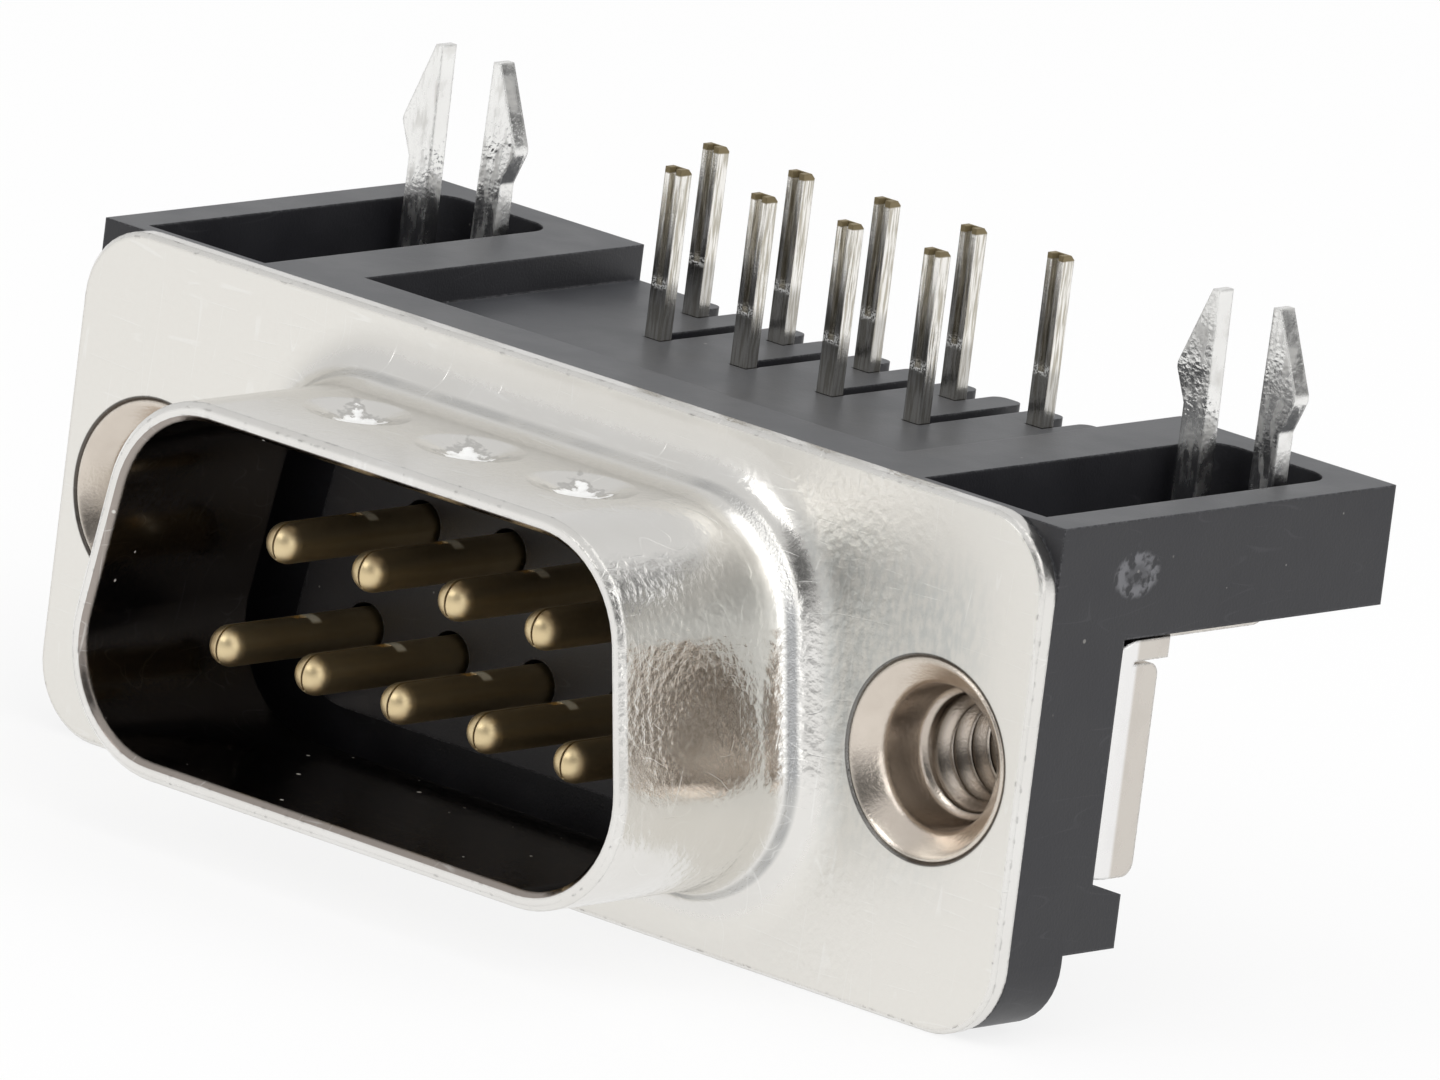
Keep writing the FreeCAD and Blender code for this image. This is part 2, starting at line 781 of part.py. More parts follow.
def make_insert(doc, d, label, side):
    """A tubular rivet with a flared head, a counterbore and a threaded bore behind it."""
    body = new_body(doc, label, screw_place(d) * side)
    shoulder = step_back(d) + d.lock_sheet
    back = shoulder + d.insert_nut_length
    thread_start = d.insert_counterbore_depth
    lead_in = thread_start + d.thread_major_radius - d.thread_minor_radius
    profile = [
        (0, d.insert_head_radius - d.insert_lip),
        (d.insert_funnel_depth, d.insert_counterbore),
        (thread_start, d.insert_counterbore),
        (thread_start, d.thread_major_radius),
        (lead_in, d.thread_minor_radius),
        (back, d.thread_minor_radius),
        (back, d.insert_nut_radius - d.insert_nut_chamfer),
        (back - d.insert_nut_chamfer, d.insert_nut_radius),
        (shoulder, d.insert_nut_radius),
        (shoulder, d.insert_barrel_radius),
        (d.insert_head_depth, d.insert_barrel_radius),
        (0, d.insert_head_radius),
    ]
    revolve(body, "Turned", True, 0, profile)
    return body


def make_board_lock(doc, d, label, side):
    """A folded sheet bracket: web, side flanges, tab, strip and two harpoon prongs."""
    body = new_body(doc, label, screw_place(d) * side)
    half = lock_half_width(d)
    add_folded_strip(body, d, half)
    cut_prongs(body, d, half)
    add_side_flanges(body, d, half)
    barrel = insert_seat(d)[1]
    pocket(body, "InsertHole", "XZ_Plane", step_back(d), step_back(d) + d.lock_sheet,
           circles=[(0, 0, barrel)])
    return body


def add_folded_strip(body, d, half):
    """The web, bent back under the wing and up again into the prongs."""
    front = step_back(d)
    tab_top = wing_under(d) - d.lock_gap
    tab_under = tab_top - d.lock_sheet
    prong_back = prong_front(d) + d.lock_sheet
    prong_top = board_level(d) + d.prong_reach
    inner = d.lock_bend_radius - d.lock_sheet
    profile = [
        (front, -d.lock_drop),
        (front + d.lock_sheet, -d.lock_drop),
        (front + d.lock_sheet, tab_under, inner),
        (prong_back, tab_under, d.lock_bend_radius),
        (prong_back, prong_top),
        (prong_front(d), prong_top),
        (prong_front(d), tab_top, inner),
        (front, tab_top, d.lock_bend_radius),
    ]
    pad(body, "FoldedSheet", "YZ_Plane", -half, half, [profile])


def cut_prongs(body, d, half):
    """Trims the strip behind the tab and shapes the two barbed prongs."""
    tab_end = step_back(d) + d.tab_reach
    behind = prong_front(d) + d.lock_sheet * 2
    under = wing_under(d) - d.lock_gap - d.lock_sheet * 2
    above = board_level(d) + d.prong_reach + d.lock_sheet
    tip = board_level(d) + d.prong_reach
    barb = board_level(d) + d.barb_height
    stem = d.prong_width / 2
    barb_half = d.barb_width / 2
    tip_half = d.prong_tip_width / 2
    outside = half + d.lock_sheet
    trims = []
    for side in (-1, 1):
        trims.append([
            (stem * side, under),
            (stem * side, barb - d.barb_slope),
            (barb_half * side, barb, d.barb_corner),
            (tip_half * side, tip),
            (tip_half * side, above),
            (outside * side, above),
            (outside * side, under),
        ])
    pocket(body, "ProngOutline", "XZ_Plane", behind, tab_end, trims)
    root = wing_under(d) + d.prong_root
    gap = d.prong_gap / 2
    gap_tip = d.prong_gap_tip / 2
    slot = [
        (-gap, root, gap - d.lock_sheet / 4), (gap, root, gap - d.lock_sheet / 4),
        (gap_tip, above), (-gap_tip, above),
    ]
    pocket(body, "ProngSlot", "XZ_Plane", behind, tab_end, [slot])
    chamfer(body, "TabCorners", d.tab_chamfer,
            lambda box, edge: near(box.YMin, tab_end) and near(box.YMax, tab_end)
            and box.XLength < 1e-4 and near(abs(box.XMin), half))


def add_side_flanges(body, d, half):
    """Two stiffening flanges, folded back from the sides of the web."""
    front = step_back(d)
    back = front + d.side_flange_depth
    top = wing_under(d) - d.lock_gap - d.lock_sheet - d.lock_relief
    corner = d.side_flange_corner
    profile = [(front, -d.lock_drop), (back, -d.lock_drop, corner), (back, top, corner),
               (front, top)]
    for name, start, end in (("RightFlange", half - d.lock_sheet, half),
                             ("LeftFlange", -half, d.lock_sheet - half)):
        pad(body, name, "YZ_Plane", start, end, [profile])
    fillet(body, "FoldedEdges", d.lock_edge_radius,
           lambda box, edge: near(box.YMin, front) and near(box.YMax, front)
           and box.XLength < 1e-4 and near(abs(box.XMin), half) and box.ZLength > 1)


def make_connector():
    """Builds every piece and returns the document with its bodies."""
    doc = FreeCAD.newDocument("DSubPlug")
    d = enter_dimensions(doc)
    bodies = [make_front_shell(doc, d), make_housing(doc, d)]
    for number, (x, row) in enumerate(contact_columns(d), start=1):
        bodies.append(make_contact(doc, d, number, x, row))
    for name, side in (("left", -1), ("right", 1)):
        bodies.append(make_insert(doc, d, f"threaded_insert_{name}", side))
        bodies.append(make_board_lock(doc, d, f"board_lock_{name}", side))
    doc.recompute()
    return doc, bodies


def check_document(doc, bodies):
    """Stops at any failed feature and at any piece that is not one valid solid."""
    for item in doc.Objects:
        if {"Invalid", "Error"} & set(item.State):
            raise RuntimeError(f"{item.Label} failed: {item.State}")
    for body in bodies:
        shape = body.Shape
        if shape.isNull() or not shape.isValid() or len(shape.Solids) != 1:
            raise RuntimeError(f"{body.Label} is not one valid solid")


def write_pieces(bodies):
    """Writes each piece to its own file."""
    os.makedirs("parts", exist_ok=True)
    for body in bodies:
        body.Shape.exportStep(f"parts/{body.Label}.step")
        print(f"{body.Label}: {body.Shape.Volume:.3f} mm3")


document, pieces = make_connector()
check_document(document, pieces)
write_pieces(pieces)
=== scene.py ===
import bmesh
import bpy
import math
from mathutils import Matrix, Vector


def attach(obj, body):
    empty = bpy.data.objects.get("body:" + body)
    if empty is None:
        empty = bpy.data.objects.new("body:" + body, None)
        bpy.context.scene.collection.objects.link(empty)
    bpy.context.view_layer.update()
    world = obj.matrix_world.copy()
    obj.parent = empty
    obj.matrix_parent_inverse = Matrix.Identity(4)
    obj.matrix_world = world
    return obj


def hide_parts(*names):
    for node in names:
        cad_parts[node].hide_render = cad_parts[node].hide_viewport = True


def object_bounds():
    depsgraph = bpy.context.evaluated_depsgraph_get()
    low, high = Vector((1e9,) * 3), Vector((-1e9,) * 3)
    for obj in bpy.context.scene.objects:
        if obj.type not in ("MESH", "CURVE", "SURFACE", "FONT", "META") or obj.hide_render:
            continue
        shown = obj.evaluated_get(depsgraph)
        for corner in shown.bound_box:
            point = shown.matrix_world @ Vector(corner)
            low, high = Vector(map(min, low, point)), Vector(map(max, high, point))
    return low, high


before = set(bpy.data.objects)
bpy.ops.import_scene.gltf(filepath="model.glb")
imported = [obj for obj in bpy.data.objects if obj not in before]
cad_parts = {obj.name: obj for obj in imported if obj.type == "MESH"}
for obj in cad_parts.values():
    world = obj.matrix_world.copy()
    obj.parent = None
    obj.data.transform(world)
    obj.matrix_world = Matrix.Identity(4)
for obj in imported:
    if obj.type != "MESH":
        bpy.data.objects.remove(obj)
cad_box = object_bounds()

# Camera
# It stands more than half a metre off, to the right of the mating face and a little above it,
# and leans a few degrees, so the flange runs down to the right across the picture.
camera_data = bpy.data.cameras.new("camera")
camera_data.sensor_width = 36
camera_data.lens = 607.73
camera_data.clip_start = 0.05
camera_data.clip_end = 20
camera = bpy.data.objects.new("camera", camera_data)
camera.location = (0.365425, -0.416767, 0.131654)
camera.rotation_euler = [math.radians(turn) for turn in (76.80029, -6.96960, 42.44835)]
bpy.context.scene.collection.objects.link(camera)
bpy.context.scene.camera = camera
bpy.context.scene.view_settings.view_transform = "Standard"


# Sweep and studio light
# The connector stands on the lower edge of its flange on a wide sheet of white paper. A broad
# softbox hangs over it, and a small one at the left front and another at the right fill in.
def feed(tree, node, inputs):
    """Sets a node's inputs to values, or links them to the outputs of other nodes."""
    for socket, value in inputs.items():
        if isinstance(value, bpy.types.NodeSocket):
            tree.links.new(value, node.inputs[socket])
        else:
            node.inputs[socket].default_value = value


def add_node(tree, kind, inputs=None, **properties):
    """A node with its properties set and its inputs fed."""
    node = tree.nodes.new("ShaderNode" + kind)
    for name, value in properties.items():
        setattr(node, name, value)
    feed(tree, node, inputs or {})
    return node


def calculate(tree, operation, first, second=0.0, third=0.0):
    """The result of one step of arithmetic on values."""
    inputs = {0: first, 1: second, 2: third}
    return add_node(tree, "Math", inputs, operation=operation).outputs[0]


def fade(tree, value, low, high):
    """A soft step from 0 below low to 1 above high, or down where low is the greater."""
    inputs = {"Value": value, "From Min": low, "From Max": high}
    return add_node(tree, "MapRange", inputs, interpolation_type="SMOOTHSTEP").outputs[0]


def blend_colours(tree, amount, first, second):
    """The first colour where the amount is 0 and the second where it is 1."""
    inputs = {0: amount, 6: first, 7: second}
    return add_node(tree, "Mix", inputs, data_type="RGBA").outputs[2]


def blend_values(tree, amount, first, second):
    """The first value where the amount is 0 and the second where it is 1."""
    return add_node(tree, "Mix", {0: amount, 2: first, 3: second}).outputs[0]


def product(tree, first, *others):
    """The product of values. A product of masks is 1 where all of them are."""
    for other in others:
        first = calculate(tree, "MULTIPLY", first, other)
    return first


def between(tree, value, rise, fall):
    """1 between a rise and a fall, each given as the limits of a soft step."""
    return product(tree, fade(tree, value, *rise), fade(tree, value, *fall))


def finished_object(name, shape):
    """An object made of a finished bmesh, linked to the scene."""
    mesh = bpy.data.meshes.new(name)
    shape.to_mesh(mesh)
    shape.free()
    piece = bpy.data.objects.new(name, mesh)
    bpy.context.scene.collection.objects.link(piece)
    return piece


paper = bpy.data.materials.new("white_paper")
paper.use_nodes = True
paper_tree = paper.node_tree
paper_shader = paper_tree.nodes["Principled BSDF"]
feed(paper_tree, paper_shader, {"Base Color": (0.93, 0.93, 0.93, 1), "Roughness": 0.9})
# Where it is seen, directly or in a bright surface, the paper is lit to an even white.
paper_glow_share = 0.82
paper_path = add_node(paper_tree, "LightPath").outputs
paper_seen = calculate(paper_tree, "MAXIMUM", paper_path["Is Transmission Ray"], calculate(
    paper_tree, "MAXIMUM", paper_path["Is Camera Ray"], paper_path["Is Glossy Ray"]))
paper_glow = add_node(paper_tree, "Emission", {"Color": (1, 1, 1, 1), "Strength": 1.0})
paper_mix = add_node(paper_tree, "MixShader", {
    0: product(paper_tree, paper_seen, paper_glow_share),
    1: paper_shader.outputs[0],
    2: paper_glow.outputs[0]})
feed(paper_tree, paper_tree.nodes["Material Output"], {0: paper_mix.outputs[0]})

sweep_reach = 4.0
sweep_shape = bmesh.new()
bmesh.ops.create_grid(sweep_shape, x_segments=1, y_segments=1, size=sweep_reach)
bmesh.ops.translate(sweep_shape, verts=sweep_shape.verts, vec=(0, 0, cad_box[0][2]))
sweep = finished_object("sweep", sweep_shape)
sweep.data.materials.append(paper)

studio = bpy.data.worlds.new("studio")
studio.use_nodes = True
studio_tree = studio.node_tree
studio_way = add_node(studio_tree, "TexCoord").outputs["Generated"]
studio_x, studio_y, studio_z = add_node(studio_tree, "SeparateXYZ", {0: studio_way}).outputs
studio_front = calculate(studio_tree, "SUBTRACT", product(studio_tree, studio_x, 0.66),
                         product(studio_tree, studio_y, 0.75))
# The walls are pale grey and a little darker higher up.
studio_grey = blend_values(studio_tree, fade(studio_tree, studio_z, 0.05, 0.4), 0.84, 0.74)
# A dark gap between the softboxes at the right rear shows in the shroud's upper corner.
studio_gap = product(studio_tree,
                     between(studio_tree, studio_z, (0.12, 0.28), (0.92, 0.78)),
                     fade(studio_tree, studio_y, 0.3, 0.6),
                     fade(studio_tree, studio_x, 0.05, 0.4))
studio_grey = blend_values(studio_tree, studio_gap, studio_grey, 0.14)
# The unlit room at the right front darkens what faces it, most of all at half height.
studio_dark = product(studio_tree, fade(studio_tree, studio_front, 0.1, 0.9),
                      fade(studio_tree, studio_z, 0.75, 0.3))
studio_grey = blend_values(studio_tree, studio_dark, studio_grey, 0.5)
studio_door = product(studio_tree,
                      between(studio_tree, studio_z, (0.16, 0.32), (0.75, 0.6)),
                      fade(studio_tree, studio_front, 0.5, 0.85))
studio_grey = blend_values(studio_tree, studio_door, studio_grey, 0.1)
feed(studio_tree, studio_tree.nodes["Background"], {"Color": studio_grey})
bpy.context.scene.world = studio


def add_softbox(name, place, aim, width, power):
    """A square softbox at a place, facing the point that it is aimed at."""
    light = bpy.data.lights.new(name, "AREA")
    light.size = width
    light.energy = power
    box = bpy.data.objects.new(name, light)
    box.location = place
    way = [a - p for a, p in zip(aim, place)]
    run = math.hypot(way[0], way[1])
    box.rotation_euler = (math.atan2(run, -way[2]), 0, math.atan2(way[1], way[0]) - math.pi / 2)
    bpy.context.scene.collection.objects.link(box)


add_softbox("softbox_overhead", (0.3, 0.12, 0.6), (0, 0, 0), 0.8, 1.9)
add_softbox("softbox_left", (-0.15, -0.6, 0.45), (0, 0, 0), 0.25, 0.6)
add_softbox("softbox_right", (0.55, -0.15, 0.3), (0, 0, 0), 0.6, 1.3)


# Front shell
# One pressing of tin-plated steel sheet: the flat flange with the D-shaped shroud drawn out of
# its middle, satin on the flange, bright on the shroud and crinkled where the draw stretched it.
def new_group(name, inputs, outputs):
    """A node group with named input values and named outputs: the group and its two ends."""
    group = bpy.data.node_groups.new(name, "ShaderNodeTree")
    for socket_name, value in inputs.items():
        kind = "NodeSocketVector" if isinstance(value, tuple) else "NodeSocketFloat"
        socket = group.interface.new_socket(socket_name, in_out="INPUT", socket_type=kind)
        socket.default_value = value
    for socket_name, kind in outputs.items():
        group.interface.new_socket(socket_name, in_out="OUTPUT", socket_type="NodeSocket" + kind)
    start = group.nodes.new("NodeGroupInput")
    end = group.nodes.new("NodeGroupOutput")
    return group, start.outputs, end.inputs


def use_group(tree, group, inputs=None):
    """The outputs of a group placed in a material, with its inputs fed."""
    return add_node(tree, "Group", inputs, node_tree=group).outputs


# Place on the piece in millimetres, and which way the surface faces.
place_group, _, place_out = new_group("place_in_mm", {}, {
    "Place": "Vector", "X": "Float", "Y": "Float", "Z": "Float",
    "Facing X": "Float", "Facing Y": "Float", "Facing Z": "Float"})
coordinates = add_node(place_group, "TexCoord")
in_mm = add_node(place_group, "VectorMath", {0: coordinates.outputs["Object"], 3: 1000.0},
                 operation="SCALE")
place_group.links.new(in_mm.outputs[0], place_out["Place"])
for prefix, source in (("", in_mm.outputs[0]), ("Facing ", coordinates.outputs["Normal"])):
    parts = add_node(place_group, "SeparateXYZ", {0: source})
    for part, letter in zip(parts.outputs, "XYZ"):
        place_group.links.new(part, place_out[prefix + letter])

# Edges rounded by tumbling and handling, with a mask of where they are. On the contacts, inserts
# and locks the mask paints the edges lighter as a painted edge highlight.
edge_group, edge_in, edge_out = new_group("rounded_edge", {"Radius": 0.0001}, {
    "Normal": "Vector", "Edge": "Float"})
edge_round = add_node(edge_group, "Bevel", {"Radius": edge_in["Radius"]}, samples=3)
edge_flat = add_node(edge_group, "NewGeometry")
edge_match = add_node(edge_group, "VectorMath", {
    0: edge_round.outputs[0], 1: edge_flat.outputs["Normal"]}, operation="DOT_PRODUCT")
edge_group.links.new(edge_round.outputs[0], edge_out["Normal"])
edge_group.links.new(fade(edge_group, edge_match.outputs["Value"], 0.985, 0.85),
                     edge_out["Edge"])

# Hairline scratches: the thin lines where a stretched noise passes its middle value.
scratch_group, scratch_in, scratch_out = new_group(
    "hairline_scratches",
    {"Place": (0.0, 0.0, 0.0), "Stretch": (1.0, 1.0, 1.0), "Width": 0.02, "Seed": 0.0},
    {"Scratches": "Float"})
scratch_place = add_node(scratch_group, "VectorMath", {
    0: scratch_in["Place"], 1: scratch_in["Stretch"]}, operation="MULTIPLY")
scratch_noise = add_node(scratch_group, "TexNoise", {
    "Vector": scratch_place.outputs[0], "W": scratch_in["Seed"], "Scale": 1.0,
    "Detail": 0.0, "Distortion": 0.1}, noise_dimensions="4D")
scratch_off = calculate(scratch_group, "ABSOLUTE",
                        calculate(scratch_group, "SUBTRACT", scratch_noise.outputs[0], 0.5))
scratch_breaks = add_node(scratch_group, "TexNoise", {
    "Vector": scratch_in["Place"], "W": scratch_in["Seed"], "Scale": 0.9, "Detail": 1.0},
    noise_dimensions="4D")
scratch_line = fade(scratch_group, calculate(
    scratch_group, "DIVIDE", scratch_off, scratch_in["Width"]), 1.0, 0.3)
scratch_whole = fade(scratch_group, scratch_breaks.outputs[0], 0.48, 0.62)
scratch_group.links.new(product(scratch_group, scratch_line, scratch_whole),
                        scratch_out["Scratches"])

# Crinkled plating: rounded bumps of uneven size.
crinkle_group, crinkle_in, crinkle_out = new_group(
    "crinkled_plating", {"Place": (0.0, 0.0, 0.0), "Size": 0.2}, {"Height": "Float"})
crinkle_scale = calculate(crinkle_group, "DIVIDE", 1.0, crinkle_in["Size"])
crinkle_cells = add_node(crinkle_group, "TexVoronoi", {
    "Vector": crinkle_in["Place"], "Scale": crinkle_scale})
crinkle_noise = add_node(crinkle_group, "TexNoise", {
    "Vector": crinkle_in["Place"], "Scale": crinkle_scale, "Detail": 2.0})
crinkle_rise = fade(crinkle_group, crinkle_cells.outputs["Distance"], 0.0, 0.9)
crinkle_group.links.new(
    blend_values(crinkle_group, 0.75, crinkle_rise, crinkle_noise.outputs[0]),
    crinkle_out["Height"])

# Specks of dust or grit, spread unevenly.
speck_group, speck_in, speck_out = new_group(
    "dust_specks", {"Place": (0.0, 0.0, 0.0), "Spacing": 0.5, "Speck": 0.1, "Share": 0.3},
    {"Specks": "Float"})
speck_cells = add_node(speck_group, "TexVoronoi", {
    "Vector": speck_in["Place"],
    "Scale": calculate(speck_group, "DIVIDE", 1.0, speck_in["Spacing"])})
speck_chance = add_node(speck_group, "SeparateColor", {0: speck_cells.outputs["Color"]})
speck_size = product(speck_group, speck_in["Speck"], speck_chance.outputs[1])
speck_shape = fade(speck_group, calculate(
    speck_group, "DIVIDE", speck_cells.outputs["Distance"], speck_size), 1.0, 0.6)
speck_picked = calculate(speck_group, "LESS_THAN", speck_chance.outputs[0], speck_in["Share"])
speck_group.links.new(product(speck_group, speck_shape, speck_picked), speck_out["Specks"])


def new_finish(name):
    """A material with its tree, its shader and its place on the piece."""
    finish = bpy.data.materials.new(name)
    finish.use_nodes = True
    tree = finish.node_tree
    return finish, tree, tree.nodes["Principled BSDF"], use_group(tree, place_group)


def noise(tree, place, scale, detail, stretch=None):
    """Cloudy noise over the piece, drawn out along the axes where the stretch is small."""
    point = place["Place"]
    if stretch:
        point = add_node(tree, "VectorMath", {0: point, 1: stretch},
                         operation="MULTIPLY").outputs[0]
    inputs = {"Vector": point, "Scale": scale, "Detail": detail}
    return add_node(tree, "TexNoise", inputs).outputs[0]


def scratches(tree, place, stretch, width, seed=0.0):
    """A mask of hairline scratches over the piece."""
    inputs = {"Place": place["Place"], "Stretch": stretch, "Width": width, "Seed": seed}
    return use_group(tree, scratch_group, inputs)["Scratches"]


def crinkles(tree, place, size):
    """The height of crinkled plating over the piece."""
    return use_group(tree, crinkle_group, {"Place": place["Place"], "Size": size})["Height"]


def specks(tree, place, spacing, size, share):
    """A mask of specks over the piece."""
    inputs = {"Place": place["Place"], "Spacing": spacing, "Speck": size, "Share": share}
    return use_group(tree, speck_group, inputs)["Specks"]


def length(tree, first, second):
    """The length of a way made of two steps at a right angle."""
    return calculate(tree, "SQRT", calculate(
        tree, "ADD", product(tree, first, first), product(tree, second, second)))


insert_across = 12.495


def off_insert(tree, place):
    """The distance in millimetres from the axis of the nearer threaded insert."""
    across = calculate(tree, "SUBTRACT", calculate(tree, "ABSOLUTE", place["X"]), insert_across)
    return length(tree, across, place["Z"])


def coated(tree, colour, coats):
    """A colour with others laid over it in turn, each where its mask is 1."""
    for mask, coat in coats:
        colour = blend_colours(tree, mask, colour, coat)
    return colour


def raise_surface(tree, height, distance, normal):
    """The normal of a surface that the height lifts by up to a distance in metres."""
    inputs = {"Height": height, "Distance": distance, "Normal": normal}
    return add_node(tree, "Bump", inputs).outputs[0]


shell_tin, tree, shader, place = new_finish("shell_tin")
edge = use_group(tree, edge_group, {"Radius": 0.00012})
cloud = noise(tree, place, 0.35, 3.0)
grain = noise(tree, place, 9.0, 3.0)
fine_crinkle = noise(tree, place, 17.0, 2.0)
patches = noise(tree, place, 3.6, 4.0, (1.5, 1.0, 0.6))
ragged = noise(tree, place, 4.0, 4.0)
# Inside the shroud a wall faces the middle of the opening. These inner walls are painted darker
# than the rest, as painted shade in the recess.
inward = calculate(tree, "ADD", product(tree, place["X"], place["Facing X"]),
                   product(tree, place["Z"], place["Facing Z"]))
inside = product(tree, fade(tree, inward, -0.6, -1.6), fade(tree, place["Y"], 0.3, 0.1))
on_flange = product(tree, fade(tree, place["Y"], -0.5, -0.05),
                    fade(tree, place["Facing Y"], -0.8, -0.97))
scratched = calculate(tree, "MAXIMUM", scratches(tree, place, (0.12, 1.0, 1.9), 0.014),
                      scratches(tree, place, (1.7, 1.0, 0.15), 0.012, 7.0))
# The draw crinkled the right end of the shroud and the flange next to it.
stretched = product(tree, between(tree, place["X"], (4.5, 8.0), (13.5, 10.0)),
                    fade(tree, cloud, 0.36, 0.56))
# The flange beside the shroud's right end is painted darker in patches: painted shade next to the
# shroud, broken up by mottling of the plating.
shade_and_mottle = product(tree, between(tree, place["X"], (6.0, 8.4), (14.6, 12.6)),
               between(tree, place["Z"], (-4.5, 0.5), (5.6, 3.4)),
               blend_values(tree, fade(tree, patches, 0.35, 0.65), 0.35, 1.0))
nicks = product(tree, edge["Edge"], fade(tree, ragged, 0.58, 0.66))
# Along the root of the shroud a dark reflection is painted as a dark line, fainter at the left,
# and the plating there is finely crinkled.
root_crinkle_and_reflection = product(tree, between(tree, place["Facing Y"], (-0.4, -0.5), (-0.68, -0.58)),
                 fade(tree, place["Y"], -2.2, -1.8))
painted_root_reflection = product(tree, root_crinkle_and_reflection, blend_values(tree, fade(tree, cloud, 0.4, 0.6), 0.45, 1.0),
                  blend_values(tree, fade(tree, place["X"], 4.0, 7.0), 0.35, 0.75))
# The head of each rivet is seated in a dark line.
seat_line = product(tree, fade(tree, off_insert(tree, place), 2.5, 2.475), 0.75)
# Each dimple was struck with a four-sided punch, which left a four-pointed star in its floor. The
# star is raised as bumps and painted bright as a painted highlight, with a thin ring of painted
# shade round it.
dimple_spacing = 3.6
dimple_row = -2.95
short_reach = 1.1
long_reach = 1.5
step_x = calculate(tree, "WRAP", place["X"], dimple_spacing / 2, -dimple_spacing / 2)
step_y = calculate(tree, "SUBTRACT", place["Y"], dimple_row)
short_arm = calculate(tree, "ABSOLUTE", calculate(tree, "ADD", step_x, step_y))
long_arm = calculate(tree, "ABSOLUTE", calculate(tree, "SUBTRACT", step_x, step_y))
star = calculate(
    tree, "ADD",
    calculate(tree, "POWER", calculate(tree, "DIVIDE", short_arm, short_reach), 0.8),
    calculate(tree, "POWER", calculate(tree, "DIVIDE", long_arm, long_reach), 0.8))
star = calculate(tree, "ADD", star,
                 product(tree, calculate(tree, "SUBTRACT", ragged, 0.5), 1.4))
on_top = product(tree, fade(tree, place["Z"], 4.1, 4.2),
                 fade(tree, calculate(tree, "ABSOLUTE", place["X"]), 5.3, 5.2),
                 fade(tree, place["Facing Z"], 0.1, 0.3))
star_highlight_and_relief = product(tree, fade(tree, star, 1.02, 0.72), on_top)
star_rim_shade = product(tree, on_top, calculate(
    tree, "SUBTRACT", fade(tree, star, 1.3, 1.1), fade(tree, star, 1.0, 0.85)))
dust = product(tree, specks(tree, place, 0.55, 0.13, 0.5), inside)
tin = coated(tree, blend_colours(tree, cloud, (0.74, 0.72, 0.68, 1), (0.86, 0.85, 0.83, 1)), (
    (on_flange, (0.83, 0.81, 0.765, 1)),
    (product(tree, shade_and_mottle, on_flange), (0.66, 0.67, 0.65, 1)),
    (painted_root_reflection, (0.2, 0.21, 0.22, 1)),
    (inside, (0.36, 0.32, 0.29, 1)),
    (product(tree, scratched, 0.25), (0.95, 0.95, 0.93, 1)),
    (nicks, (0.12, 0.11, 0.1, 1)),
    (seat_line, (0.05, 0.045, 0.04, 1)),
    (star_highlight_and_relief, (0.93, 0.93, 0.92, 1)),
    (product(tree, star_rim_shade, 0.5), (0.4, 0.39, 0.37, 1)),
    (dust, (0.85, 0.83, 0.78, 1))))
rough = blend_values(tree, inside, blend_values(tree, on_flange, 0.16, 0.33), 0.1)
rough = calculate(tree, "ADD", rough, product(tree, fade(tree, grain, 0.3, 0.7), 0.08))
rough = blend_values(tree, star_highlight_and_relief, rough, 0.45)
height = calculate(
    tree, "ADD",
    product(tree, crinkles(tree, place, 0.22), blend_values(tree, stretched, 0.15, 1.1)),
    product(tree, fine_crinkle, blend_values(tree, root_crinkle_and_reflection, 0.12, 0.9)))
height = calculate(tree, "SUBTRACT", height, product(tree, scratched, 0.1))
height = product(tree, height, blend_values(tree, inside, 1.0, 0.1))
height = blend_values(tree, star_highlight_and_relief, height,
                      product(tree, calculate(tree, "SUBTRACT", star, 1.0), 0.9))
feed(tree, shader, {
    "Base Color": tin,
    "Metallic": calculate(tree, "SUBTRACT", 1.0, calculate(
        tree, "MAXIMUM", dust, product(tree, star_highlight_and_relief, 0.7))),
    "Roughness": blend_values(tree, dust, rough, 0.8),
    "Normal": raise_surface(tree, height, 0.00002, edge["Normal"])})


def dress(node, finish):
    """A carried CAD node gets its finish in every material slot."""
    for material_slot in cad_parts[node].material_slots:
        material_slot.material = finish


dress("front_shell", shell_tin)

# Insulator housing
# One moulding of glass-filled black plastic: backing plate, insulator face, tail platform and
# the two pocketed wings. Its edges carry a thin pale flash, and the gate left a frosted mark.
housing_black, tree, shader, place = new_finish("housing_black")
edge = use_group(tree, edge_group, {"Radius": 0.00009})
cloud = noise(tree, place, 0.5, 3.0)
grain = noise(tree, place, 16.0, 3.0)
scuffed = scratches(tree, place, (0.25, 0.3, 1.5), 0.01, 3.0)
flash = product(tree, edge["Edge"], fade(tree, grain, 0.42, 0.62))
# The faces that look up are painted lighter, in cloudy patches: a painted sheen.
upward_sheen = product(tree, fade(tree, place["Facing Z"], 0.7, 0.98),
                  blend_values(tree, cloud, 0.4, 1.0))
